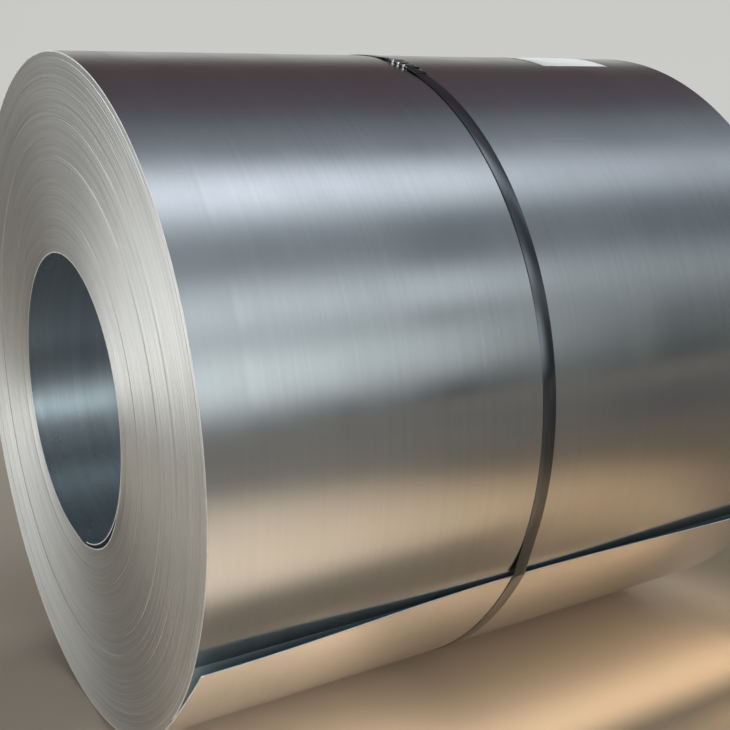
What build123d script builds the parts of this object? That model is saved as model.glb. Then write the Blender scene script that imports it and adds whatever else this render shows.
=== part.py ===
# Coil of cold-rolled steel strip, lying on its side and bound round its girth by one steel strap.
#
# Frame, in millimetres: +X along the coil's axis, +Z up, origin at the middle of the bore.
# Angles round the coil are counted from its underside, up through its front (-Y) and over its top.
# The strip winds outwards in that same sense, from its inner end at the bottom of the bore to its
# loose outer end, the tail, which stands up off the front. The strap holds the tail in at mid-width,
# so the tail springs out towards both ends of the coil.

import os
from math import acos, atan, cos, degrees, pi, radians, sin

from build123d import *

# Strip and coil
bore_diameter = 508.0
coil_diameter = 1165.0  # over the turn that the tail lies on
strip_width = 1200.0
strip_thickness = 2.0

# Turns on the ends: groups of turns are wound a little to one side or the other
turn_groups = 11
group_growth = 1.13  # above 1, the groups are narrower near the bore
turn_wander = 1.6  # the furthest that a group stands out at one end
wander_step = 2.4  # radians from one group to the next
outer_turns = 4  # turns outside the last group, wound edge to edge

# Outer end of the strip
tail_root_angle = 46.0
tail_edge_angle = 63.4
tail_root_lift = 0.8
tail_gap_strap = 5.0
tail_gap_near = 22.0
tail_gap_far = 17.0
tail_land = 44.0  # width over which the strap keeps the tail straight
tail_stations = 4  # loft sections from the strap to each end

# Inner end of the strip, and the hollow that the next turn leaves over it
inner_end_angle = 9.0
inner_end_rise = 4.8
hollow_end_angle = 62.0
hollow_end_rise = 0.8
hollow_height = 8.0
inner_slit_width = 1.6
inner_slit_depth = 6.0

# Strap, leaning a little so that its top is nearer the far end
strap_width = 25.0
strap_thickness = 0.9
strap_offset = -18.0  # from the middle of the coil, along its axis
strap_lean = 9.0
strap_clearance = 0.4
strap_lap_front = 26.0  # end of the strap that shows below the seal
strap_lap_back = 14.0  # end that lies hidden above the seal
strap_ramp = 30.0
strap_drop_gap = 3.0

# Seal, a sleeve round both layers of the strap, bitten into along both its edges
seal_angle = 165.0
seal_length = 60.0
seal_wall = 1.1
seal_clearance = 0.15
notch_count = 3
notch_pitch = 17.5
notch_radius = 3.2
notch_depth = 2.4
notch_cut = 8.0

# Paper label
label_length = 165.0
label_height = 200.0
label_thickness = 0.25
label_end_distance = 117.5  # from the far end of the coil
label_edge_angle = 165.5
label_clearance = 0.5

bore_radius = bore_diameter / 2
coil_radius = coil_diameter / 2
half_width = strip_width / 2
quarter_rise = (strip_thickness + tail_root_lift) / 4  # growth of the outermost turn in a quarter
degrees_per_mm = degrees(1 / coil_radius)


def ray(angle):
    """Unit vector at an angle from the coil's underside towards its front, in the YZ plane."""
    return Vector(-sin(radians(angle)), -cos(radians(angle)))


def turn_centre(quarter):
    """Centre of one quarter of the outermost turn, which is a spiral of four arcs."""
    across = ray(tail_root_angle) * (quarter_rise / 2)
    along = ray(tail_root_angle + 90) * (quarter_rise / 2)
    corners = (along - across, -along - across, across - along, across + along)
    return corners[quarter]


def turn_radius(quarter):
    return coil_radius + quarter_rise / 2 + quarter * quarter_rise


def on_turn(quarter, angle, lift=0.0):
    """Point at a height above one quarter of the outermost turn."""
    return turn_centre(quarter) + ray(angle) * (turn_radius(quarter) + lift)


def turn_arc(quarter, start, end, lift=0.0):
    middle = (start + end) / 2
    return ThreePointArc(
        on_turn(quarter, start, lift), on_turn(quarter, middle, lift), on_turn(quarter, end, lift)
    )


def quarter_start(quarter):
    return tail_root_angle + 90 * quarter


def tail_points(gap, lift):
    """Start, middle and end of the tail's arc, which leaves the coil along its surface."""
    root = on_turn(0, tail_root_angle, tail_root_lift)
    edge = ray(tail_edge_angle) * (coil_radius + gap)
    inward = -ray(tail_root_angle)
    chord = edge - root
    radius = chord.length**2 / (2 * chord.dot(inward))
    centre = root + inward * radius
    end = (edge - centre).normalized()
    middle = (end - inward).normalized()
    return [centre + way * (radius + lift) for way in (-inward, middle, end)]


# The strap crosses the tail here, along the coil's axis
tail_hold = strap_offset - strap_lean * cos(radians(tail_edge_angle))


def tail_gap(x):
    """Gap behind the free edge, least at the strap and widest at the ends of the coil."""
    reach = abs(x - tail_hold) - tail_land / 2
    if reach <= 0:
        return tail_gap_strap
    if x < tail_hold:
        free, widest = half_width + tail_hold - tail_land / 2, tail_gap_near
    else:
        free, widest = half_width - tail_hold - tail_land / 2, tail_gap_far
    return tail_gap_strap + (widest - tail_gap_strap) * (1 - cos(pi * reach / free)) / 2


def turned_profile():
    """Half section of the wound turns: each group is as wide as the strip, and set over a little."""
    group_room = coil_radius - outer_turns * strip_thickness - bore_radius
    edges = [bore_radius + group_room * (k / turn_groups) ** group_growth for k in range(turn_groups + 1)]
    near, far = [], []
    for k in range(turn_groups):
        shift = turn_wander * sin(wander_step * k)
        for radius in edges[k : k + 2]:
            near.append((shift - half_width, radius))
            far.append((shift + half_width, radius))
    return near + far[::-1]


# The coil: turned body, outermost turns, inner end and tail, one continuous strip
outer_ring_radius = coil_radius - (outer_turns + 1) * strip_thickness
lap_radius = bore_radius + strip_thickness
lap_end = ray(inner_end_angle)
hollow_top = ray((inner_end_angle + hollow_end_angle) / 2)
hollow_end = ray(hollow_end_angle)
with BuildPart() as coil:
    with BuildSketch(Plane.XZ):
        with BuildLine():
            Polyline(*turned_profile(), close=True)
        make_face()
    revolve(axis=Axis.X)

    with BuildSketch(Plane.YZ.offset(-half_width)):
        with BuildLine():
            for k in range(4):
                turn_arc(k, quarter_start(k), quarter_start(k + 1))
            Line(on_turn(3, quarter_start(4)), on_turn(0, quarter_start(0)))
        make_face()
        Circle(outer_ring_radius, mode=Mode.SUBTRACT)
    extrude(amount=strip_width)

    with BuildSketch(Plane.YZ):
        with BuildLine():
            Line(lap_end * lap_radius, lap_end * (lap_radius + inner_end_rise))
            ThreePointArc(
                lap_end * (lap_radius + inner_end_rise),
                hollow_top * (lap_radius + hollow_height),
                hollow_end * (lap_radius + hollow_end_rise),
            )
            Line(hollow_end * (lap_radius + hollow_end_rise), hollow_end * lap_radius)
            ThreePointArc(hollow_end * lap_radius, hollow_top * lap_radius, lap_end * lap_radius)
        make_face()
        with Locations(Location(lap_end * lap_radius, 90 - inner_end_angle)):
            Rectangle(inner_slit_depth, inner_slit_width)
    extrude(amount=strip_width, both=True, mode=Mode.SUBTRACT)

    stations = []
    for start, end in ((tail_hold - tail_land / 2, -half_width), (tail_hold + tail_land / 2, half_width)):
        stations += [start + (end - start) * k / tail_stations for k in range(tail_stations + 1)]
    for x in sorted(stations):
        inner = tail_points(tail_gap(x), 0)
        outer = tail_points(tail_gap(x), strip_thickness)
        with BuildSketch(Plane.YZ.offset(x)):
            with BuildLine():
                ThreePointArc(*inner)
                Line(inner[2], outer[2])
                ThreePointArc(*outer[::-1])
                Line(outer[0], inner[0])
            make_face()
    loft()
coil.part.label = "coil"

# The strap's own plane, square to it, with its middle on the strap's centre line
strap_tilt = atan(strap_lean / coil_radius)
strap_plane = Plane(
    origin=(strap_offset, 0, 0), x_dir=(0, 1, 0), z_dir=(cos(strap_tilt), 0, -sin(strap_tilt))
)
seal_start = seal_angle - seal_length / 2 * degrees_per_mm
seal_end = seal_angle + seal_length / 2 * degrees_per_mm


def strap_edge(height):
    """Edge of the strap at a height above the face that lies on the coil. Gives its two ends."""
    level = strap_clearance + height
    under = level + seal_wall + seal_clearance
    over = under + strap_thickness + seal_clearance
    front_end = seal_start - strap_lap_front * degrees_per_mm
    back_end = seal_end + strap_lap_back * degrees_per_mm
    drop_start = back_end + strap_drop_gap * degrees_per_mm
    drop_end = drop_start + strap_ramp * degrees_per_mm
    rise_start = front_end - strap_ramp * degrees_per_mm

    # Over the seal, down, round the back and under the coil
    turn_arc(1, front_end, drop_start, over)
    Line(on_turn(1, drop_start, over), on_turn(1, drop_end, level))
    turn_arc(1, drop_end, quarter_start(2), level)
    turn_arc(2, quarter_start(2), quarter_start(3), level)
    turn_arc(3, quarter_start(3), quarter_start(4), level)

    # Along the tail, over its free edge and straight on to the coil
    tail_edge = tail_points(tail_gap_strap, strip_thickness)[2]
    from_centre = tail_edge - turn_centre(0)
    landing = degrees(
        acos(from_centre.normalized().dot(ray(0)))
        + acos((turn_radius(0) + strap_clearance) / from_centre.length)
    )
    on_tail = tail_points(tail_gap_strap, strip_thickness + level)
    ThreePointArc(*on_tail)
    round_edge = ((on_tail[2] - tail_edge).normalized() + ray(landing)).normalized()
    ThreePointArc(on_tail[2], tail_edge + round_edge * level, tail_edge + ray(landing) * level)
    Line(tail_edge + ray(landing) * level, on_turn(0, landing, level))

    # Up the front and into the seal, below the first layer
    turn_arc(0, landing, quarter_start(1), level)
    turn_arc(1, quarter_start(1), rise_start, level)
    Line(on_turn(1, rise_start, level), on_turn(1, front_end, under))
    turn_arc(1, front_end, back_end, under)
    return on_turn(1, front_end, over), on_turn(1, back_end, under)


def notch_planes():
    """Places of the bites out of both edges of the strap and its seal, square to the coil."""
    offset = strap_width / 2 + notch_radius - notch_depth
    for k in range(notch_count):
        angle = seal_angle + (k - (notch_count - 1) / 2) * notch_pitch * degrees_per_mm
        foot = on_turn(1, angle, strap_clearance / 2)
        outward = strap_plane.from_local_coords(ray(angle)) - strap_plane.origin
        for side in (-offset, offset):
            yield Plane(origin=strap_plane.from_local_coords(Vector(foot.X, foot.Y, side)), z_dir=outward)


# The strap: one strip of steel, lapped over itself in the seal
with BuildPart() as strap:
    with BuildSketch(strap_plane.offset(-strap_width / 2)):
        with BuildLine():
            for near_end, far_end in zip(strap_edge(0), strap_edge(strap_thickness)):
                Line(near_end, far_end)
        make_face()
    extrude(amount=strap_width)
    with BuildSketch(*notch_planes()):
        Circle(notch_radius)
    extrude(amount=notch_cut, mode=Mode.SUBTRACT)
strap.part.label = "strap"


def section_plane(frame, angle):
    """Plane for a section that is revolved about the second quarter's centre, from an angle on."""
    way = ray(angle)
    origin = frame.from_local_coords(turn_centre(1))
    forward = frame.from_local_coords(Vector(-way.Y, way.X)) - frame.origin
    return Plane(origin=origin, x_dir=frame.z_dir, z_dir=forward)


def top_axis(frame):
    """Axis through the second quarter's centre, so that a turn about it goes over the top."""
    return Axis(frame.from_local_coords(turn_centre(1)), -frame.z_dir)


# The seal: a sleeve folded round both layers of the strap
sleeve_room = 2 * (strap_thickness + seal_clearance) + seal_clearance
sleeve_middle = turn_radius(1) + strap_clearance + seal_wall + sleeve_room / 2
sleeve_inside = strap_width + 2 * seal_clearance
with BuildPart() as seal:
    with BuildSketch(section_plane(strap_plane, seal_start)):
        with Locations((0, sleeve_middle)):
            Rectangle(sleeve_inside + 2 * seal_wall, sleeve_room + 2 * seal_wall)
            Rectangle(sleeve_inside, sleeve_room, mode=Mode.SUBTRACT)
    revolve(axis=top_axis(strap_plane), revolution_arc=seal_end - seal_start)
    with BuildSketch(*notch_planes()):
        Circle(notch_radius)
    extrude(amount=notch_cut, mode=Mode.SUBTRACT)
seal.part.label = "seal"

# The label: a bare sheet of paper, stuck on the top of the coil
label_plane = Plane.YZ.offset(half_width - label_end_distance - label_length / 2)
with BuildPart() as label:
    with BuildSketch(section_plane(label_plane, label_edge_angle)):
        with Locations((0, turn_radius(1) + label_clearance + label_thickness / 2)):
            Rectangle(label_length, label_thickness)
    revolve(axis=top_axis(label_plane), revolution_arc=label_height * degrees_per_mm)
label.part.label = "label"

os.makedirs("parts", exist_ok=True)
for piece in (coil, strap, seal, label):
    export_step(piece.part, f"parts/{piece.part.label}.step")
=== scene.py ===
# Coil of cold-rolled steel strip on its side, strapped once round its girth.
# Metres, in the frame of the construction model: +X along the bore away from the end in view,
# +Z up, front at -Y. Angles round the coil start at its underside, climb the front (-Y) and
# pass over the top, as the strip itself is wound.

import random
from math import acos, atan, atan2, cos, degrees, pi, radians, sin

import bmesh
import bpy
from mathutils import Matrix, Vector, noise


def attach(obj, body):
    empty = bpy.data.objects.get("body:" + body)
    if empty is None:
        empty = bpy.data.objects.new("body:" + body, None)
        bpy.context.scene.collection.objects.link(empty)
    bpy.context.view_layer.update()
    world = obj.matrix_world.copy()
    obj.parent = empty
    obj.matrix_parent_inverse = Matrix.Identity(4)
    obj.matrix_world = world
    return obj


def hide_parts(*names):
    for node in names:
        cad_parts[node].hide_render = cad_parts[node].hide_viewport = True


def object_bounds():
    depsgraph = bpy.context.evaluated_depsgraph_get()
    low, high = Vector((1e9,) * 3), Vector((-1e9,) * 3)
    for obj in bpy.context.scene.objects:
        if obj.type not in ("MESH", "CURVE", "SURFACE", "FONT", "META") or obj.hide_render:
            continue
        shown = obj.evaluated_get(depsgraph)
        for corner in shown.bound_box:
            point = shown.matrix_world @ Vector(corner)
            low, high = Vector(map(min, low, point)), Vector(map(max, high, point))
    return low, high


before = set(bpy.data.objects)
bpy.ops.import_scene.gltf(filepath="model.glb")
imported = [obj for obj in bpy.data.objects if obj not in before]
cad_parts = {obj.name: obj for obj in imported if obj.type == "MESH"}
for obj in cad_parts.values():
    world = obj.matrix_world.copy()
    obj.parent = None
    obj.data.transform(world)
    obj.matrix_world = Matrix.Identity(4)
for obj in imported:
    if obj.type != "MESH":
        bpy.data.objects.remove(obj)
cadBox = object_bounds()

mm = 0.001
chance = random.Random(11)
air = 0.1 * mm  # between sheets that lie on each other
mergeDistance = 0.001 * mm
sharpAngle = 35  # degrees

# Sizes shared with the construction model
coil = {
    "boreRadius": 254 * mm,
    "outerRadius": 582.5 * mm,
    "halfWidth": 600 * mm,
    "strip": 2 * mm,
}
tail = {
    "root": 46,  # degrees
    "edge": 63.4,
    "rootLift": 0.8 * mm,
    "gapStrap": 5 * mm,
    "gapNear": 22 * mm,
    "gapFar": 17 * mm,
    "land": 44 * mm,  # how much of the width the strap holds down
    "cells": 40,  # faces across the sheet
    "turnStep": 1.25,  # degrees for each face of the turn before the tail
    "steps": 14,  # faces along the tail
}
strap = {
    "width": 25 * mm,
    "thickness": 0.9 * mm,
    "offset": -18 * mm,
    "lean": 9 * mm,  # how far it strays to each side on its way round
    "clearance": 0.32 * mm,
    "bevel": 0.2 * mm,
    "lapFront": 26 * mm,
    "lapBack": 14 * mm,
    "ramp": 30 * mm,
    "dropGap": 3 * mm,
    "step": 1.5,  # degrees of turn for each face
}
quarterRise = (coil["strip"] + tail["rootLift"]) / 4
degreesPerMetre = degrees(1 / coil["outerRadius"])


# Unit vector from the axis outwards
def ray(angle):
    return Vector((0, -sin(radians(angle)), -cos(radians(angle))))


# The outermost turn is a spiral of four arcs, each a quarter with its own centre
def turnCentre(quarter):
    across = ray(tail["root"]) * (quarterRise / 2)
    along = ray(tail["root"] + 90) * (quarterRise / 2)
    return (along - across, -along - across, across - along, across + along)[quarter]


def turnRadius(quarter):
    return coil["outerRadius"] + quarterRise / 2 + quarter * quarterRise


def onTurn(quarter, angle, lift=0.0):
    return turnCentre(quarter) + ray(angle) * (turnRadius(quarter) + lift)


def quarterStart(quarter):
    return tail["root"] + 90 * quarter


def smooth(value):
    value = min(max(value, 0.0), 1.0)
    return value * value * (3 - 2 * value)


def angleOf(place):
    return degrees(atan2(-place.y, -place.z)) % 360


# Centre, radius and end directions of the tail's arc
def tailArc(gap):
    root = onTurn(0, tail["root"], tail["rootLift"])
    edge = ray(tail["edge"]) * (coil["outerRadius"] + gap)
    inward = -ray(tail["root"])
    chord = edge - root
    radius = chord.length_squared / (2 * chord.dot(inward))
    centre = root + inward * radius
    return centre, radius, -inward, (edge - centre).normalized()


tailHold = strap["offset"] - strap["lean"] * cos(radians(tail["edge"]))


def tailGap(x):
    reach = abs(x - tailHold) - tail["land"] / 2
    if reach <= 0:
        return tail["gapStrap"]
    near = x < tailHold
    free = coil["halfWidth"] + (tailHold if near else -tailHold) - tail["land"] / 2
    widest = tail["gapNear"] if near else tail["gapFar"]
    return tail["gapStrap"] + (widest - tail["gapStrap"]) * (1 - cos(pi * reach / free)) / 2


# Mesh helpers
def rowAcross(bm, place, halfWidth, cells):
    ends = [bm.verts.new(place + Vector((side * halfWidth, 0, 0))) for side in (-1, 1)]
    edge = bm.edges.new(ends)
    bmesh.ops.subdivide_edges(bm, edges=[edge], cuts=cells - 1)
    return bm.edges[:]


def onlyEdges(geom):
    return [item for item in geom if isinstance(item, bmesh.types.BMEdge)]


def edgeVerts(edges):
    return list(dict.fromkeys(vert for edge in edges for vert in edge.verts))


# Carries a row of edges round a centre in the YZ plane, and gives back its last place
def spinRow(bm, edges, centre, turn, step):
    made = bmesh.ops.spin(
        bm, geom=edgeVerts(edges) + edges, cent=centre, axis=(-1, 0, 0), dvec=(0, 0, 0),
        angle=radians(turn), steps=max(1, round(turn / step)), use_merge=False,
    )
    return onlyEdges(made["geom_last"])


# Only the new outline of an extrusion, without the edges that join it to the old one
def movedRow(bm, edges, turn=0.0, centre=(0, 0, 0), move=(0, 0, 0)):
    old = set(edgeVerts(edges))
    made = bmesh.ops.extrude_edge_only(bm, edges=edges)["geom"]
    row = [edge for edge in onlyEdges(made) if not old & set(edge.verts)]
    verts = edgeVerts(row)
    if turn:
        turning = Matrix.Rotation(radians(-turn), 3, "X")
        bmesh.ops.rotate(bm, verts=verts, cent=centre, matrix=turning)
    bmesh.ops.translate(bm, verts=verts, vec=move)
    return row


def shade(mesh):
    mesh.shade_smooth()
    mesh.set_sharp_from_angle(angle=radians(sharpAngle))


def finishMesh(bm, name, materials, recalc=True):
    bmesh.ops.remove_doubles(bm, verts=bm.verts, dist=mergeDistance)
    if recalc:
        bmesh.ops.recalc_face_normals(bm, faces=bm.faces)
    mesh = bpy.data.meshes.new(name)
    bm.to_mesh(mesh)
    bm.free()
    for material in materials:
        mesh.materials.append(material)
    shade(mesh)
    piece = bpy.data.objects.new(name, mesh)
    bpy.context.scene.collection.objects.link(piece)
    return piece


# Adds nodes to a material or to the world
class Nodes:
    def __init__(self, owner):
        owner.use_nodes = True
        self.tree = owner.node_tree

    def node(self, kind, **settings):
        made = self.tree.nodes.new(kind)
        for key, value in settings.items():
            setattr(made, key, value)
        return made

    def link(self, source, target):
        self.tree.links.new(source, target)

    # A socket takes a link from another one, a colour or a number
    def fill(self, socket, value):
        if isinstance(value, bpy.types.NodeSocket):
            self.link(value, socket)
        elif isinstance(value, tuple):
            socket.default_value = (*value, 1)
        else:
            socket.default_value = value

    def place(self, scale=(1, 1, 1)):
        coords = self.node("ShaderNodeTexCoord")
        mapping = self.node("ShaderNodeMapping")
        mapping.inputs["Scale"].default_value = scale
        self.link(coords.outputs["Object"], mapping.inputs["Vector"])
        return mapping.outputs["Vector"]

    def noise(self, vector, scale=1, detail=3, roughness=0.5):
        made = self.node("ShaderNodeTexNoise")
        made.inputs["Scale"].default_value = scale
        made.inputs["Detail"].default_value = detail
        made.inputs["Roughness"].default_value = roughness
        self.link(vector, made.inputs["Vector"])
        return made.outputs["Fac"]

    def math(self, operation, first, second=0, third=0):
        made = self.node("ShaderNodeMath", operation=operation)
        for socket, value in zip(made.inputs, (first, second, third)):
            self.fill(socket, value)
        return made.outputs["Value"]

    # Gives back the node, as these operations end in a vector or in a value
    def vectorMath(self, operation, first, second=(0, 0, 0)):
        made = self.node("ShaderNodeVectorMath", operation=operation)
        self.link(first, made.inputs[0])
        made.inputs[1].default_value = second
        return made

    def spread(self, value, low, high, toLow, toHigh, curve="LINEAR"):
        made = self.node("ShaderNodeMapRange", interpolation_type=curve)
        names = ("From Min", "From Max", "To Min", "To Max")
        for key, number in zip(names, (low, high, toLow, toHigh)):
            made.inputs[key].default_value = number
        self.link(value, made.inputs["Value"])
        return made.outputs["Result"]

    def ramp(self, value, stops):
        made = self.node("ShaderNodeValToRGB")
        elements = made.color_ramp.elements
        while len(elements) < len(stops):
            elements.new(0.5)
        for element, (position, colour) in zip(elements, stops):
            element.position = position
            element.color = (*colour, 1)
        self.link(value, made.inputs["Fac"])
        return made.outputs["Color"]

    # In a mix of colours, inputs 0, 6 and 7 and output 2 are the ones in use
    def blend(self, factor, first, second, mode="MIX"):
        made = self.node("ShaderNodeMix", data_type="RGBA", blend_type=mode, clamp_factor=False)
        for number, value in ((0, factor), (6, first), (7, second)):
            self.fill(made.inputs[number], value)
        return made.outputs[2]

    def bump(self, height, distance, strength=0.2):
        made = self.node("ShaderNodeBump")
        made.inputs["Strength"].default_value = strength
        made.inputs["Distance"].default_value = distance
        self.link(height, made.inputs["Height"])
        return made.outputs["Normal"]


class Paint(Nodes):
    def __init__(self, name):
        self.material = bpy.data.materials.new(name)
        super().__init__(self.material)
        self.shader = self.tree.nodes["Principled BSDF"]

    def set(self, **values):
        for key, value in values.items():
            self.fill(self.shader.inputs[key.replace("_", " ")], value)


noiseRange = (0.3, 0.7)  # where most values of a noise lie


# Two tones in patches, for the plain materials
def mottledPaint(name, look):
    paint = Paint(name)
    patches = paint.noise(paint.place(), look["patches"], look["detail"], roughness=0.6)
    low, high = look["range"]
    paint.set(
        Base_Color=paint.ramp(patches, [(low, look["dark"]), (high, look["light"])]),
        Metallic=look["metallic"],
        Roughness=look["roughness"],
    )
    if "fibres" in look:
        fibres = paint.noise(paint.place(), look["fibres"], detail=2)
        paint.set(Normal=paint.bump(fibres, look["fibreHeight"]))
    return paint.material


# Rolled face of the strip: semi-gloss, with faint lines along the rolling direction
rolled = {
    "colour": (0.66, 0.665, 0.67),
    "lineColour": (0.615, 0.62, 0.625),
    "roughness": (0.17, 0.25),
    "metallic": 1.0,
    "lines": 150,  # lines across a metre of strip
    "lineDepth": 0.01 * mm,
    "rim": {"band": (-532 * mm, -526 * mm), "shade": 0.4, "dull": 0.025},  # along the near edge
}
# What all rolled faces share, the patterns in waves to a metre
rolledGrain = {
    "alongLines": 2.2,
    "broad": (7, 1.1, 1.1),
    "broadDull": 0.03,
    "cloud": 3.1,
    "cloudRange": (0.35, 0.7),
    "cloudShade": 0.35,
}


def rolledSteel(name, look):
    paint = Paint(name)
    slow = rolledGrain["alongLines"]
    lines = paint.noise(paint.place((look["lines"], slow, slow)), detail=4, roughness=0.6)
    broad = paint.noise(paint.place(rolledGrain["broad"]))
    cloud = paint.noise(paint.place(), rolledGrain["cloud"], detail=5, roughness=0.62)
    low, high = noiseRange
    tone = paint.ramp(lines, [(low, look["lineColour"]), (high, look["colour"])])
    clouded = paint.spread(cloud, *rolledGrain["cloudRange"], 0, rolledGrain["cloudShade"])
    tone = paint.blend(clouded, tone, look["lineColour"])
    dull = rolledGrain["broadDull"]
    gloss = paint.spread(cloud, *noiseRange, *look["roughness"])
    gloss = paint.math("ADD", gloss, paint.spread(broad, *noiseRange, -dull, dull))
    if "rim" in look:
        across = paint.node("ShaderNodeSeparateXYZ")
        paint.link(paint.place(), across.inputs["Vector"])
        rim = paint.spread(across.outputs["X"], *look["rim"]["band"], 1, 0)
        tone = paint.blend(paint.math("MULTIPLY", rim, look["rim"]["shade"]), tone, look["lineColour"])
        gloss = paint.math("MULTIPLY_ADD", rim, look["rim"]["dull"], gloss)
    paint.set(Base_Color=tone, Metallic=look["metallic"], Roughness=gloss)
    if "lineDepth" in look:
        paint.set(Normal=paint.bump(lines, look["lineDepth"]))
    return paint.material


# Slit edges of the turns: matt metal, ringed, with streaks that run part of the way round
slitEdges = {
    "light": (0.645, 0.65, 0.635),
    "dark": (0.485, 0.49, 0.475),
    # Fine streaks and broader bands: how many in a metre of radius, how much they change on the way
    # round, and the values between which their tone changes
    "streaks": {"fine": 420, "slow": 3, "roughness": 0.65},
    "streakRange": (0.32, 0.62),
    "bands": {"fine": 52.5, "slow": 2, "roughness": 0.55},
    "bandRange": (0.4, 0.72),
    "bandShade": 0.5,
    "drift": 12 * mm,  # how far a streak strays from its turn
    "driftWaves": (1.02, 2.21, 2.21),
    "roughness": (0.42, 0.52),
    "metallic": 0.9,
    "relief": 0.6 * mm,
    "drawnOut": 0.9,  # how much the highlight is drawn out along the radius
}


# Noise that is fine along the radius and slow on the way round
def ringNoise(paint, radius, drift, fine, slow, roughness):
    combine = paint.node("ShaderNodeCombineXYZ")
    paint.link(paint.math("MULTIPLY", radius, fine), combine.inputs["X"])
    paint.link(paint.math("MULTIPLY", drift, slow), combine.inputs["Y"])
    return paint.noise(combine.outputs["Vector"], roughness=roughness)


def edgeSteel(name, look):
    paint = Paint(name)
    flat = paint.place((0, 1, 1))
    radius = paint.vectorMath("LENGTH", flat).outputs["Value"]
    drift = paint.noise(paint.place(look["driftWaves"]), detail=2)
    wound = paint.math("MULTIPLY_ADD", drift, look["drift"], radius)
    streaks = ringNoise(paint, wound, drift, **look["streaks"])
    bands = ringNoise(paint, wound, drift, **look["bands"])
    low, high = look["streakRange"]
    tone = paint.ramp(streaks, [(low, look["dark"]), (high, look["light"])])
    banded = paint.spread(bands, *look["bandRange"], 0, look["bandShade"])
    tone = paint.blend(banded, tone, look["dark"])
    paint.set(
        Base_Color=tone,
        Metallic=look["metallic"],
        Roughness=paint.spread(bands, *noiseRange, *look["roughness"]),
        Normal=paint.bump(streaks, look["relief"], strength=0.25),
        Anisotropic=look["drawnOut"],
        Tangent=paint.vectorMath("NORMALIZE", flat).outputs["Vector"],
    )
    return paint.material


outerSteel = rolledSteel("outerSteel", rolled)
# Painted shade: the inner face of the same strip, darker and bluer than the outer face, for the shade in
# the bore
borePaintedShadeSteel = rolledSteel("borePaintedShadeSteel", {
    "colour": (0.40, 0.45, 0.48),
    "lineColour": (0.31, 0.355, 0.385),
    "roughness": (0.24, 0.34),
    "metallic": 0.8,
    "lines": 60,
})
# Painted shade: the rolled steel in the gap under the tail, darker, bluer and duller
gapPaintedShadeSteel = rolledSteel("gapPaintedShadeSteel", {
    "colour": (0.42, 0.50, 0.52),
    "lineColour": (0.36, 0.43, 0.45),
    "roughness": (0.40, 0.50),
    "metallic": 0.35,
    "lines": 60,
})
turnEdges = edgeSteel("turnEdges", slitEdges)
turnSides = mottledPaint("turnSides", {
    "dark": (0.50, 0.505, 0.49),
    "light": (0.58, 0.585, 0.57),
    "range": (0.35, 0.65),
    "patches": 25,  # to a metre
    "detail": 3,
    "metallic": 0.15,
    "roughness": 0.6,
})
# Cut and slit edges of the loose turns: partly the bare metal of the cut, partly painted highlight,
# lighter than the rolled steel so that the edges show as a bright line
cutEdgeAndHighlight = mottledPaint("cutEdgeAndHighlight", {
    "dark": (0.70, 0.70, 0.68),
    "light": (0.88, 0.88, 0.86),
    "range": (0.35, 0.65),
    "patches": 60,
    "detail": 3,
    "metallic": 0.5,
    "roughness": 0.36,
})
print("steel materials ready")

# Body of turns: each turn's slit edge stands at its own place along the axis
turns = {
    "groups": 11,
    "growth": 1.13,  # groups are narrower near the bore
    "wander": 0.7 * mm,
    "wanderStep": 2.4,
    "groupsEnd": 8 * mm,  # under the outer radius
    "plainOuter": 10 * mm,  # these turns don't wander
    "jitter": 0.18 * mm,
    "first": 256.1 * mm,  # radius of the innermost wall
    "last": 580.7 * mm,
    "outerBand": 1 * mm,  # what lies this near the outermost wall follows the outer turn
    "boreBand": 20 * mm,  # walls this near the innermost one take the bore's painted shade
    "wallFacing": 0.3,  # a face that looks less along the axis than this is a wall
    "step": 3,  # degrees
}
# Soft grooves where one group of turns runs under the next: angle and radius at both ends of each,
# its half width and its depth, in degrees and mm
grooves = [
    {"start": (187, 275), "end": (241, 322), "width": 3.0, "depth": 1.6},
    {"start": (195, 268), "end": (250, 296), "width": 2.5, "depth": 1.2},
    {"start": (36, 326), "end": (80, 330), "width": 3.0, "depth": 1.8},
    {"start": (176, 484), "end": (228, 502), "width": 3.0, "depth": 1.2},
]
inner = {
    "end": 9,  # degrees, free end of the strip
    "endRise": 4.8 * mm,
    "hollowEnd": 62,
    "hollowTop": 35.5,
    "height": 8 * mm,  # of the hollow at its top
    "endClose": 0.8 * mm,
    "beyond": 10,  # degrees that the turn is followed past the hollow
    "approach": 17,  # degrees over which the turn climbs over the free end
    "lapAir": 0.3 * mm,
    "fade": 19 * mm,  # how deep the body gives way to the hollow
    "cells": 12,
    "step": 2.5,
    "climbSteps": 32,
}


# Height of the hollow over the free inner end
def hollow(angle):
    if angle < inner["hollowTop"]:
        share = smooth((angle - inner["end"]) / (inner["hollowTop"] - inner["end"]))
        return inner["endRise"] + (inner["height"] - inner["endRise"]) * share
    share = smooth((angle - inner["hollowTop"]) / (inner["hollowEnd"] - inner["hollowTop"]))
    return inner["height"] + (inner["endClose"] - inner["height"]) * share


# Inner face of the strip as it is followed from its free end, for 1.2 turns
def innerFace(travel):
    angle = inner["end"] + travel
    under = coil["boreRadius"]
    over = under + coil["strip"] + inner["lapAir"]
    if travel < 360 - inner["approach"]:
        return under
    if travel < 360:
        share = smooth((travel - 360 + inner["approach"]) / inner["approach"])
        return under + (over + inner["endRise"] - under) * share
    return over + hollow(min(angle - 360, inner["hollowEnd"]))


def groupShift(radius):
    room = coil["outerRadius"] - turns["groupsEnd"] - coil["boreRadius"]
    share = (radius - coil["boreRadius"]) / room
    if share >= 1 or radius > coil["outerRadius"] - turns["plainOuter"]:
        return 0.0
    group = int(turns["groups"] * share ** (1 / turns["growth"]))
    return turns["wander"] * sin(turns["wanderStep"] * group)


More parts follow.
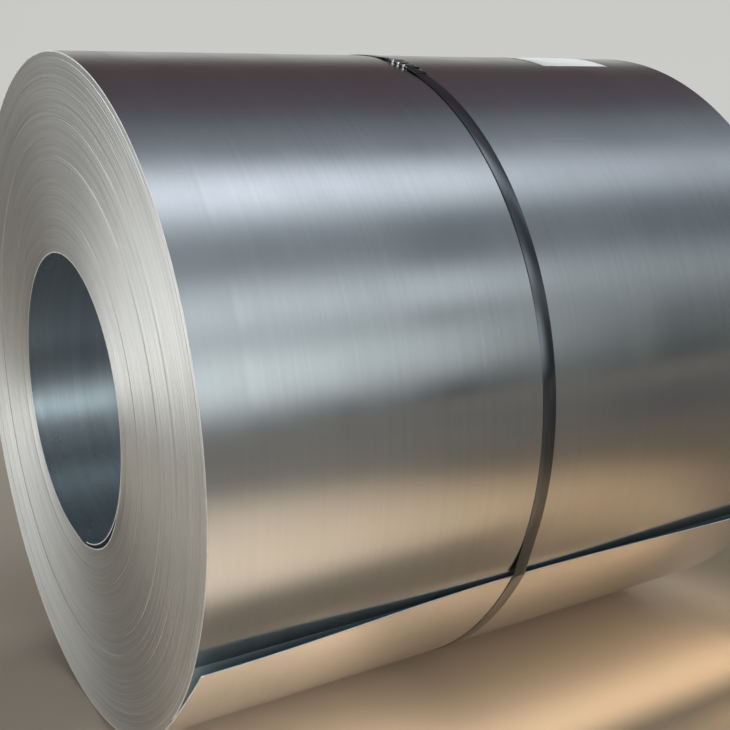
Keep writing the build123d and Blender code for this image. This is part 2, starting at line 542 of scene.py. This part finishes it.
def bodyProfile():
    count = round((turns["last"] - turns["first"]) / coil["strip"])
    pitch = (turns["last"] - turns["first"]) / count
    near, far = [], []
    for k in range(count):
        radius = turns["first"] + k * pitch
        shift = groupShift(radius + pitch / 2)
        for side, points in ((-1, near), (1, far)):
            x = shift + chance.uniform(-1, 1) * turns["jitter"] + side * coil["halfWidth"]
            points += [(x, radius), (x, radius + pitch)]
    return near + far[::-1]


# How far the body's innermost wall stands back, so that the first turn can pass over its own end
def wallRoom(angle):
    angle = angle - 360 if angle > 180 else angle
    if not inner["end"] - inner["approach"] <= angle <= inner["hollowEnd"] + inner["beyond"]:
        return 0.0
    return innerFace(angle - inner["end"] + 360) + coil["strip"] + air - turns["first"]


def grooveDepth(angle, radius):
    depth = 0.0
    for groove in grooves:
        (startAngle, startRadius), (endAngle, endRadius) = groove["start"], groove["end"]
        share = (angle - startAngle) / (endAngle - startAngle)
        if 0 < share < 1:
            off = abs(radius / mm - startRadius - (endRadius - startRadius) * share) / groove["width"]
            depth += groove["depth"] * mm * max(0.0, 1 - off) * sin(pi * share) ** 0.5
    return depth


rootSlack = 0.01  # degrees, so that what lies at the tail's root counts as past it


def makeBody():
    bm = bmesh.new()
    start = ray(tail["root"])
    outline = [bm.verts.new(Vector((x, 0, 0)) + start * radius) for x, radius in bodyProfile()]
    ring = [bm.edges.new((outline[k - 1], outline[k])) for k in range(len(outline))]
    bmesh.ops.spin(
        bm, geom=outline + ring, cent=(0, 0, 0), axis=(-1, 0, 0), dvec=(0, 0, 0),
        angle=2 * pi, steps=round(360 / turns["step"]), use_merge=True,
    )
    bmesh.ops.remove_doubles(bm, verts=bm.verts, dist=mergeDistance)
    bmesh.ops.recalc_face_normals(bm, faces=bm.faces)
    for vert in bm.verts:
        x = vert.co.x
        radius = vert.co.yz.length
        angle = angleOf(vert.co)
        if radius > turns["last"] - turns["outerBand"]:
            lap = (angle - tail["root"] + rootSlack) % 360
            place = onTurn(int(lap // 90), tail["root"] + lap, -coil["strip"] - air)
        else:
            near = max(0.0, 1 - (radius - turns["first"]) / inner["fade"])
            place = ray(angle) * (radius + wallRoom(angle) * near)
        depth = grooveDepth(angle, radius) * (1 if x < 0 else -1)
        vert.co = (x + depth, place.y, place.z)
    for face in bm.faces:
        if abs(face.normal.x) < turns["wallFacing"]:
            away = face.calc_center_median().yz.length - turns["first"]
            face.material_index = 1 if away < turns["boreBand"] else 2
    return finishMesh(bm, "turns", [turnEdges, borePaintedShadeSteel, turnSides], recalc=False)


# Gives an open sheet its thickness behind the side that is to face outward or inward
def thicken(bm, outward, thickness):
    bmesh.ops.recalc_face_normals(bm, faces=bm.faces[:])
    face = bm.faces[:][0]
    middle = face.calc_center_median()
    if (face.normal.y * middle.y + face.normal.z * middle.z > 0) != outward:
        bmesh.ops.reverse_faces(bm, faces=bm.faces[:])
    bmesh.ops.solidify(bm, geom=bm.faces[:], thickness=thickness)
    bmesh.ops.recalc_face_normals(bm, faces=bm.faces[:])


sheetEdge = {
    "facing": 0.8,  # a face that looks more along the axis than this is a slit edge
    "longer": 6 * mm,  # a cut end's faces are longer than this
    "thinner": 2.4 * mm,  # and no thicker than this
}


# Slit edges and cut ends of a sheet take the second material
def markEdges(bm):
    for face in bm.faces:
        sizes = sorted(edge.calc_length() for edge in face.edges)
        slit = abs(face.normal.x) > sheetEdge["facing"]
        if slit or sizes[-1] > sheetEdge["longer"] and sizes[1] < sheetEdge["thinner"]:
            face.material_index = 1


def makeInnerTurn():
    bm = bmesh.new()
    row = rowAcross(bm, ray(inner["end"]) * coil["boreRadius"], coil["halfWidth"], inner["cells"])
    level = 360 - inner["approach"]
    climb = inner["approach"] + inner["hollowEnd"] + inner["beyond"] - inner["end"]
    row = spinRow(bm, row, (0, 0, 0), level, inner["step"])
    for k in range(1, inner["climbSteps"] + 1):
        travel = level + climb * k / inner["climbSteps"]
        row = movedRow(bm, row)
        for vert in edgeVerts(row):
            place = ray(inner["end"] + travel) * innerFace(travel)
            vert.co = (vert.co.x, place.y, place.z)
    thicken(bm, False, coil["strip"])
    markEdges(bm)
    return finishMesh(bm, "innerTurn", [borePaintedShadeSteel, cutEdgeAndHighlight])


# Last turn and tail, one sheet: its outer face is wound, then given its thickness
def tailPlace(x, share):
    centre, radius, start, end = tailArc(tailGap(x))
    place = centre + start.slerp(end, share) * (radius + coil["strip"])
    return Vector((x, place.y, place.z))


# Low waves of the loose outer turn, which bend what it mirrors
waves = {
    "height": 0.22 * mm,
    "perMetre": Vector((5, 9, 9)),
    "farther": 1.6,  # how much higher they are toward the far end
    "growsFrom": -0.1,
    "growsOver": 0.7,
}
# Where the outer turn and the tail look into the gap between them, their steel takes painted shade: a
# darker, bluer, rougher and less metallic copy of the rolled steel
tailShade = {
    "outerFace": 0.5 * mm,  # the turn's outer face lies nearer the outer radius than this
    "innerFace": 0.2 * mm,  # and the tail's inner face farther out than this
    "pastRoot": 1,  # degrees
    "beforeEdge": 0.5,
}


def waveHeight(place):
    grown = smooth((place.x - waves["growsFrom"]) / waves["growsOver"])
    return waves["height"] * (1 + (waves["farther"] - 1) * grown) * noise.noise(place * waves["perMetre"])


def facesTailGap(face):
    middle = face.calc_center_median()
    angle = angleOf(middle)
    if not tail["root"] + tailShade["pastRoot"] < angle < tail["edge"] - tailShade["beforeEdge"]:
        return False
    away = middle.yz.length - coil["outerRadius"]
    if face.normal.dot(ray(angle)) > 0:
        return away < tailShade["outerFace"]
    return away > tailShade["innerFace"]


def makeOuterTurn():
    bm = bmesh.new()
    row = rowAcross(bm, onTurn(0, tail["root"]), coil["halfWidth"], tail["cells"])
    for quarter in range(4):
        row = spinRow(bm, row, turnCentre(quarter), 90, tail["turnStep"])
    for k in range(1, tail["steps"] + 1):
        row = movedRow(bm, row)
        for vert in edgeVerts(row):
            vert.co = tailPlace(vert.co.x, k / tail["steps"])
    for vert in bm.verts:
        vert.co -= Vector((0, vert.co.y, vert.co.z)).normalized() * abs(waveHeight(vert.co))
    thicken(bm, True, coil["strip"])
    markEdges(bm)
    # Faces in the gap under the tail take the painted shade
    for face in bm.faces:
        if face.material_index == 0 and facesTailGap(face):
            face.material_index = 2
    return finishMesh(bm, "outerTurn", [outerSteel, cutEdgeAndHighlight, gapPaintedShadeSteel])


pieces = {"strip_steel": [makeBody(), makeInnerTurn(), makeOuterTurn()]}
for piece in pieces["strip_steel"]:
    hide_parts("coil")
print("coil wound")

# Strap and seal are made square to the axis, then leaned over together
seal = {
    "angle": 165,
    "length": 60 * mm,
    "wall": 1.1 * mm,
    "clearance": 0.15 * mm,
    "bevel": 0.35 * mm,
    "step": 0.75,
    "notches": 3,
    "pitch": 17.5 * mm,
    "notchRadius": 3.2 * mm,
    "notchDepth": 2.4 * mm,
    "cutterFaces": 28,
    "cutterHeight": 10 * mm,
    "cutterLift": 4 * mm,  # of its middle over the coil
}
leaning = Matrix.Translation((strap["offset"], 0, 0)) @ Matrix.Rotation(
    atan(strap["lean"] / coil["outerRadius"]), 4, "Y"
)
sealStart = seal["angle"] - seal["length"] / 2 * degreesPerMetre
sealEnd = seal["angle"] + seal["length"] / 2 * degreesPerMetre

# Blued strap: near black, glossy enough to show the light bands, rubbed along its length
blued = {
    "colour": (0.15, 0.16, 0.17),
    "rubbed": (0.24, 0.245, 0.25),
    "roughness": (0.12, 0.20),
    "metallic": 0.95,
    "cloud": 24,  # to a metre
    "rubs": (160, 5, 5),
    "rubRange": (0.5, 0.8),
    "rubShare": 0.7,
}


def strapPaint(name, look):
    paint = Paint(name)
    cloud = paint.noise(paint.place(), look["cloud"], detail=5, roughness=0.65)
    rub = paint.noise(paint.place(look["rubs"]), detail=4, roughness=0.6)
    rubbed = paint.spread(rub, *look["rubRange"], 0, look["rubShare"])
    tone = paint.blend(rubbed, look["colour"], look["rubbed"])
    gloss = paint.spread(cloud, *noiseRange, *look["roughness"])
    paint.set(Base_Color=tone, Metallic=look["metallic"], Roughness=gloss)
    return paint.material


strapBlued = strapPaint("strapBlued", blued)
# Bare metal where the strap and seal are cut and notched, partly painted glint: lighter than steel so that
# the notches show as bright dots
bareCutAndGlint = mottledPaint("bareCutAndGlint", {
    "dark": (0.62, 0.63, 0.63),
    "light": (0.90, 0.91, 0.92),
    "range": noiseRange,
    "patches": 300,
    "detail": 3,
    "metallic": 0.7,
    "roughness": 0.38,
})


# Rectangle that stands on a place of the coil
def section(bm, place, outward, width, height):
    halfAcross = Vector((width / 2, 0, 0))
    corners = ((-1, 0), (1, 0), (1, 1), (-1, 1))
    verts = [bm.verts.new(place + halfAcross * side + outward * (up * height)) for side, up in corners]
    return [bm.edges.new((verts[k - 1], verts[k])) for k in range(4)]


# Wound as a strap is drawn tight: its outer lap through the seal, down onto the coil and round it,
# along the tail and off its edge, then back into the seal under the outer lap
def makeStrap():
    step = strap["step"]
    level = strap["clearance"]
    under = level + seal["wall"] + seal["clearance"]
    over = under + strap["thickness"] + seal["clearance"]
    frontEnd = sealStart - strap["lapFront"] * degreesPerMetre
    backEnd = sealEnd + strap["lapBack"] * degreesPerMetre
    dropStart = backEnd + strap["dropGap"] * degreesPerMetre
    dropEnd = dropStart + strap["ramp"] * degreesPerMetre
    riseStart = frontEnd - strap["ramp"] * degreesPerMetre
    top = turnCentre(1)

    bm = bmesh.new()
    row = section(bm, onTurn(1, frontEnd, over), ray(frontEnd), strap["width"], strap["thickness"])
    firstEnd = row
    row = spinRow(bm, row, top, dropStart - frontEnd, step)
    row = movedRow(bm, row, dropEnd - dropStart, top, ray(dropEnd) * (level - over))
    row = spinRow(bm, row, top, quarterStart(2) - dropEnd, step)
    for quarter in (2, 3):
        row = spinRow(bm, row, turnCentre(quarter), 90, step)

    centre, radius, start, end = tailArc(tail["gapStrap"])
    row = spinRow(bm, row, centre, degrees(start.angle(end)), step)
    edge = centre + end * (radius + coil["strip"])
    fromTop = edge - turnCentre(0)
    landing = degrees(
        acos(fromTop.normalized().dot(ray(0))) + acos((turnRadius(0) + level) / fromTop.length)
    )
    row = spinRow(bm, row, edge, degrees(end.angle(ray(landing))), step)
    row = movedRow(bm, row, move=onTurn(0, landing, level) - edge - ray(landing) * level)

    row = spinRow(bm, row, turnCentre(0), quarterStart(1) - landing, step)
    row = spinRow(bm, row, top, riseStart - quarterStart(1), step)
    row = movedRow(bm, row, frontEnd - riseStart, top, ray(frontEnd) * (under - level))
    row = spinRow(bm, row, top, backEnd - frontEnd, step)
    for opening in (firstEnd, row):
        bmesh.ops.edgeloop_fill(bm, edges=opening)
    bmesh.ops.transform(bm, matrix=leaning, verts=bm.verts)
    return finishMesh(bm, "bandStrap", [strapBlued, bareCutAndGlint])


def makeSeal():
    room = 2 * (strap["thickness"] + seal["clearance"]) + seal["clearance"]
    inside = strap["width"] + 2 * seal["clearance"]
    bm = bmesh.new()
    place = onTurn(1, sealStart, strap["clearance"])
    row = section(bm, place, ray(sealStart), inside + 2 * seal["wall"], room + 2 * seal["wall"])
    spinRow(bm, row, turnCentre(1), sealEnd - sealStart, seal["step"])
    bmesh.ops.recalc_face_normals(bm, faces=bm.faces[:])
    bmesh.ops.solidify(bm, geom=bm.faces[:], thickness=seal["wall"])
    bmesh.ops.transform(bm, matrix=leaning, verts=bm.verts)
    return finishMesh(bm, "crimpSeal", [strapBlued, bareCutAndGlint])


# Cylinders that bite into both edges of the strap and its seal
def makeBites():
    bm = bmesh.new()
    across = strap["width"] / 2 + seal["notchRadius"] - seal["notchDepth"]
    for k in range(seal["notches"]):
        angle = seal["angle"] + (k - (seal["notches"] - 1) / 2) * seal["pitch"] * degreesPerMetre
        place = onTurn(1, angle, seal["cutterLift"])
        upright = Matrix.Rotation(pi - radians(angle), 4, "X")
        for side in (-across, across):
            moved = Matrix.Translation(place + Vector((side, 0, 0)))
            bmesh.ops.create_cone(
                bm, cap_ends=True, segments=seal["cutterFaces"], depth=seal["cutterHeight"],
                radius1=seal["notchRadius"], radius2=seal["notchRadius"], matrix=leaning @ moved @ upright,
            )
    for face in bm.faces:
        face.material_index = 1
    return finishMesh(bm, "bites", [strapBlued, bareCutAndGlint])


sliver = 0.004 * mm  # corners nearer than this become one, where the bites cross the bevels


# Bevels a piece, takes the bites out of it and keeps the result as its mesh
def bite(piece, cutter, bevelWidth):
    bevel = piece.modifiers.new("edges", "BEVEL")
    bevel.width = bevelWidth
    bevel.segments = 2
    bevel.limit_method = "ANGLE"
    bevel.angle_limit = radians(40)
    cut = piece.modifiers.new("bites", "BOOLEAN")
    cut.object = cutter
    cut.operation = "DIFFERENCE"
    cut.solver = "EXACT"
    shaped = bpy.data.meshes.new_from_object(piece.evaluated_get(bpy.context.evaluated_depsgraph_get()))
    piece.modifiers.clear()
    piece.data = shaped
    bm = bmesh.new()
    bm.from_mesh(shaped)
    bmesh.ops.remove_doubles(bm, verts=bm.verts, dist=sliver)
    manySided = [face for face in bm.faces if len(face.verts) > 4]
    bmesh.ops.triangulate(bm, faces=manySided, ngon_method="BEAUTY")
    bm.to_mesh(shaped)
    bm.free()
    shade(shaped)
    print(piece.name, "bitten,", len(shaped.polygons), "faces")


bites = makeBites()
bandStrap = makeStrap()
crimpSeal = makeSeal()
bpy.context.view_layer.update()
bite(bandStrap, bites, strap["bevel"])
bite(crimpSeal, bites, seal["bevel"])
bpy.data.objects.remove(bites)
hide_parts("strap")
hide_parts("seal")
pieces["strap_steel"] = [bandStrap, crimpSeal]
print("strap and seal closed")

# Bare paper label, a little cockled
label = {
    "length": 165 * mm,
    "height": 200 * mm,
    "thickness": 0.25 * mm,
    "endDistance": 117.5 * mm,
    "edgeAngle": 165.5,
    "clearance": 0.3 * mm,
    "cockle": 0.35 * mm,
    "waves": ((4.1, 2.2), (-1.3, 3.3)),  # radians across and along, from the middle to an edge
    "cells": 16,
    "step": 1,
}


def makeLabel():
    bm = bmesh.new()
    middle = coil["halfWidth"] - label["endDistance"] - label["length"] / 2
    place = onTurn(1, label["edgeAngle"], label["clearance"]) + Vector((middle, 0, 0))
    row = rowAcross(bm, place, label["length"] / 2, label["cells"])
    turn = label["height"] * degreesPerMetre
    spinRow(bm, row, turnCentre(1), turn, label["step"])
    for vert in bm.verts:
        angle = angleOf(vert.co)
        across = (vert.co.x - middle) / (label["length"] / 2)
        along = (angle - label["edgeAngle"]) / turn * 2 - 1
        first, second = (a * across + b * along for a, b in label["waves"])
        vert.co += ray(angle) * label["cockle"] * (1 + sin(first) * cos(second)) / 2
    thicken(bm, True, label["thickness"])
    return finishMesh(bm, "paperLabel", [paper])


paper = mottledPaint("paper", {
    "dark": (0.74, 0.745, 0.73),
    "light": (0.84, 0.845, 0.83),
    "range": noiseRange,
    "patches": 30,
    "detail": 4,
    "metallic": 0.0,
    "roughness": 0.75,
    "fibres": 900,
    "fibreHeight": 0.2 * mm,
})
paperLabel = makeLabel()
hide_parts("label")
pieces["label_paper"] = [paperLabel]
for slotName, members in pieces.items():
    for piece in members:
        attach(piece, "root")
print("label laid")

# Studio: soft sky with long light bands that run along the coil, floor, lamps and camera.
# What the steel mirrors is told by where a ray points: its angle up from the front horizon, which
# goes on over the top to the back at 180 and below the floor at -90, and its part along +X.
bandColour = (0.92, 1.03, 1.05)
sky = {
    "tones": [
        (-180, (0.24, 0.24, 0.23)),
        (-90, (0.10, 0.09, 0.08)),
        (-20, (0.07, 0.075, 0.07)),
        (20, (0.08, 0.09, 0.095)),
        (60, (0.132, 0.16, 0.186)),
        (98, (0.215, 0.245, 0.285)),
        (114, (0.10, 0.09, 0.105)),
        (148, (0.086, 0.059, 0.060)),
        (160, (0.20, 0.20, 0.19)),
        (180, (0.24, 0.24, 0.23)),
    ],
    # Each band: angle of its middle, half width, strength, and the share of it that is left far
    # along +X, with the parts along +X between which it fades
    "bands": [
        {
            "angle": 76.5, "width": 17.5, "strength": 1.18, "left": 0.34, "fade": (0.42, 0.74),
            "colour": (0.92, 0.99, 1.08),
        },
        {
            "angle": 36.5, "width": 13, "strength": 0.91, "left": 0.20, "fade": (0.38, 0.73),
            "colour": bandColour,
        },
        {
            "angle": 27, "width": 13, "strength": 0.05, "left": 3.0, "fade": (0.50, 0.70),
            "colour": bandColour,
        },
        {
            "angle": 14, "width": 18, "strength": 1.16, "left": 0.04, "fade": (0.38, 0.69),
            "colour": bandColour,
        },
        {
            "angle": 45, "width": 50, "strength": 0.14, "left": 0.05, "fade": (0.40, 0.74),
            "colour": (0.92, 1.0, 1.08),
        },
    ],
    "rise": (-0.10, 0.30),  # bands and tones come up from a share of their strength at the near end
    "bandRest": 0.15,
    "toneRest": 0.6,
    # What the near end mirrors: light that starts at the horizon and fades higher up
    "glow": {
        "strength": 6.3, "colour": (0.99, 0.99, 0.975), "along": (-0.42, -0.98),
        "up": (-0.06, 0.03), "top": (0.28, 0.14),
    },
    # Light wall low behind the coil
    "backdrop": {
        "strength": 0.36, "colour": (1.0, 1.0, 0.98), "along": (-0.75, -0.25), "angle": (150, 166),
    },
}


def buildSky(look):
    world = bpy.data.worlds.new("softSky")
    bpy.context.scene.world = world
    nodes = Nodes(world)
    coords = nodes.node("ShaderNodeTexCoord")
    parts = nodes.node("ShaderNodeSeparateXYZ")
    nodes.link(coords.outputs["Generated"], parts.inputs["Vector"])
    along = parts.outputs["X"]
    front = nodes.math("MULTIPLY", parts.outputs["Y"], -1)
    up = parts.outputs["Z"]
    angle = nodes.math("DEGREES", nodes.math("ARCTAN2", up, front))

    stops = [((turn + 180) / 360, tone) for turn, tone in look["tones"]]
    colour = nodes.ramp(nodes.spread(angle, -180, 180, 0, 1), stops)
    colour = nodes.blend(nodes.spread(along, *look["rise"], look["toneRest"], 1), (0, 0, 0), colour)

    risen = nodes.spread(along, *look["rise"], look["bandRest"], 1)
    for band in look["bands"]:
        off = nodes.math("ABSOLUTE", nodes.math("SUBTRACT", angle, band["angle"]))
        light = nodes.spread(off, band["width"], 0, 0, band["strength"], "SMOOTHERSTEP")
        share = nodes.spread(along, *band["fade"], 1, band["left"])
        light = nodes.math("MULTIPLY", nodes.math("MULTIPLY", light, share), risen)
        colour = nodes.blend(light, colour, band["colour"], "ADD")

    glow = look["glow"]
    low = nodes.math("MULTIPLY", nodes.spread(up, *glow["up"], 0, 1), nodes.spread(up, *glow["top"], 0, 1))
    light = nodes.math("MULTIPLY", nodes.spread(along, *glow["along"], 0, glow["strength"]), low)
    colour = nodes.blend(light, colour, glow["colour"], "ADD")

    back = look["backdrop"]
    turned = nodes.spread(nodes.math("ABSOLUTE", angle), *back["angle"], 0, back["strength"])
    light = nodes.math("MULTIPLY", turned, nodes.spread(along, *back["along"], 0, 1))
    colour = nodes.blend(light, colour, back["colour"], "ADD")
    nodes.link(colour, nodes.tree.nodes["Background"].inputs["Color"])


ground = {
    "radius": 16,
    "segments": 96,
    "colour": (0.553, 0.472, 0.382),
    "darkest": 0.97,  # share of the colour
    "mottle": 0.9,  # waves to a metre
    "roughness": 0.8,
    # Soft patches of painted shade and painted light, which the side mirrors: darker far to the right,
    # lighter far in front, warmer and a little darker just in front of the coil. Each starts at the first
    # distance from its middle and is full at the second.
    "patches": [
        {"middle": (2.7, -2.2), "reach": (2.1, 1.0), "colour": (0.35, 0.315, 0.28)},
        {"middle": (0.6, -3.2), "reach": (1.6, 0.6), "colour": (0.65, 0.575, 0.49)},
        {"middle": (0.75, -0.85), "reach": (1.5, 0.45), "colour": (0.58, 0.425, 0.275)},
    ],
}


def makeFloor(look):
    level = cadBox[0].z
    bm = bmesh.new()
    bmesh.ops.create_circle(bm, cap_ends=True, segments=look["segments"], radius=look["radius"])
    bmesh.ops.translate(bm, verts=bm.verts, vec=(0, 0, level))
    paint = Paint("floorPaint")
    low, high = noiseRange
    darkest = tuple(part * look["darkest"] for part in look["colour"])
    mottle = paint.noise(paint.place(), look["mottle"])
    colour = paint.ramp(mottle, [(low, darkest), (high, look["colour"])])
    # Painted shade and painted light on the floor, in soft patches
    for patch in look["patches"]:
        away = paint.vectorMath("DISTANCE", paint.place(), (*patch["middle"], level)).outputs["Value"]
        colour = paint.blend(paint.spread(away, *patch["reach"], 0, 1), colour, patch["colour"])
    paint.set(Base_Color=colour, Roughness=look["roughness"])
    floor = finishMesh(bm, "studioFloor", [paint.material])


daylight = (0.95, 0.98, 1.0)
warmWhite = (1.0, 0.88, 0.75)
coolWhite = (0.90, 0.98, 1.0)
floorLevel = -0.58
# Lamps with a cone are spots and the others panels. The camera sees none of them, and the steel
# mirrors only those in the bore.
lamps = {
    "poolLamp": {
        "place": (-1.0, 0.45, 2.9), "aim": (-0.42, -1.19, floorLevel), "watts": 1080, "colour": daylight,
        "cone": 29, "blend": 1.0, "radius": 0.25,
    },
    "farPoolLamp": {
        "place": (1.0, -0.4, 2.9), "aim": (0.58, -0.90, floorLevel), "watts": 310, "colour": warmWhite,
        "cone": 15, "blend": 1.0, "radius": 0.2,
    },
    "leftPoolLamp": {
        "place": (-2.6, -1.6, 2.6), "aim": (-2.1, -0.85, floorLevel), "watts": 760, "colour": daylight,
        "cone": 41, "blend": 1.0, "radius": 0.25,
    },
    "backLamp": {
        "place": (1.6, 2.6, 2.2), "aim": (-0.9, 1.5, floorLevel), "watts": 8, "colour": daylight,
        "size": (1.2, 1.2), "spread": 80,
    },
    "underLampNear": {
        "place": (-0.48, -0.62, -0.43), "aim": (-0.48, -0.46, -0.586), "watts": 0.66, "colour": warmWhite,
        "size": (0.6, 0.10), "spread": 72,
    },
    "underLampFar": {
        "place": (0.17, -0.62, -0.47), "aim": (0.17, -0.48, -0.586), "watts": 0.50, "colour": warmWhite,
        "size": (0.9, 0.07), "spread": 70,
    },
    "labelLamp": {
        "place": (0.50, 0.50, 2.2), "aim": (0.48, -0.02, 0.585), "watts": 92, "colour": daylight,
        "cone": 17, "blend": 0.6, "radius": 0.1,
    },
    "boreLamp": {
        "place": (-0.25, -0.17, 0.06), "aim": (-0.25, 0.25, -0.02), "watts": 0.36, "colour": coolWhite,
        "size": (0.6, 0.09), "spread": 180, "mirrored": True,
    },
    "boreTopLamp": {
        "place": (-0.25, -0.09, 0.155), "aim": (-0.25, 0.20, -0.15), "watts": 0.045, "colour": coolWhite,
        "size": (0.6, 0.14), "spread": 180, "mirrored": True,
    },
}


def addLamp(name, look):
    if "cone" in look:
        lamp = bpy.data.lights.new(name, "SPOT")
        lamp.spot_size = radians(look["cone"])
        lamp.spot_blend = look["blend"]
        lamp.shadow_soft_size = look["radius"]
    else:
        lamp = bpy.data.lights.new(name, "AREA")
        lamp.shape = "RECTANGLE"
        lamp.size, lamp.size_y = look["size"]
        lamp.spread = radians(look["spread"])
    lamp.energy = look["watts"]
    lamp.color = look["colour"]
    holder = bpy.data.objects.new(name, lamp)
    holder.location = look["place"]
    pointing = Vector(look["aim"]) - Vector(look["place"])
    holder.rotation_euler = pointing.to_track_quat("-Z", "Y").to_euler()
    holder.visible_glossy = look.get("mirrored", False)
    holder.visible_camera = False
    bpy.context.scene.collection.objects.link(holder)


# Fitted to the outline, both rims and the bore of the coil
photoCamera = {
    "lens": 54.706,
    "sensor": 36,
    "place": (-1.1388, -1.8472, 0.5285),
    "heading": 58.29,  # degrees from +X towards +Y
    "dip": 14.14,
}


def addCamera(name, look):
    camera = bpy.data.cameras.new(name)
    camera.lens = look["lens"]
    camera.sensor_width = look["sensor"]
    viewer = bpy.data.objects.new(name, camera)
    viewer.location = look["place"]
    heading = radians(look["heading"])
    dip = radians(look["dip"])
    looking = Vector((cos(heading) * cos(dip), sin(heading) * cos(dip), -sin(dip)))
    viewer.rotation_euler = looking.to_track_quat("-Z", "Y").to_euler()
    bpy.context.scene.collection.objects.link(viewer)
    bpy.context.scene.camera = viewer


buildSky(sky)
makeFloor(ground)
for name, look in lamps.items():
    addLamp(name, look)
addCamera("photoCamera", photoCamera)
bpy.context.scene.view_settings.view_transform = "Standard"
print("studio lit")
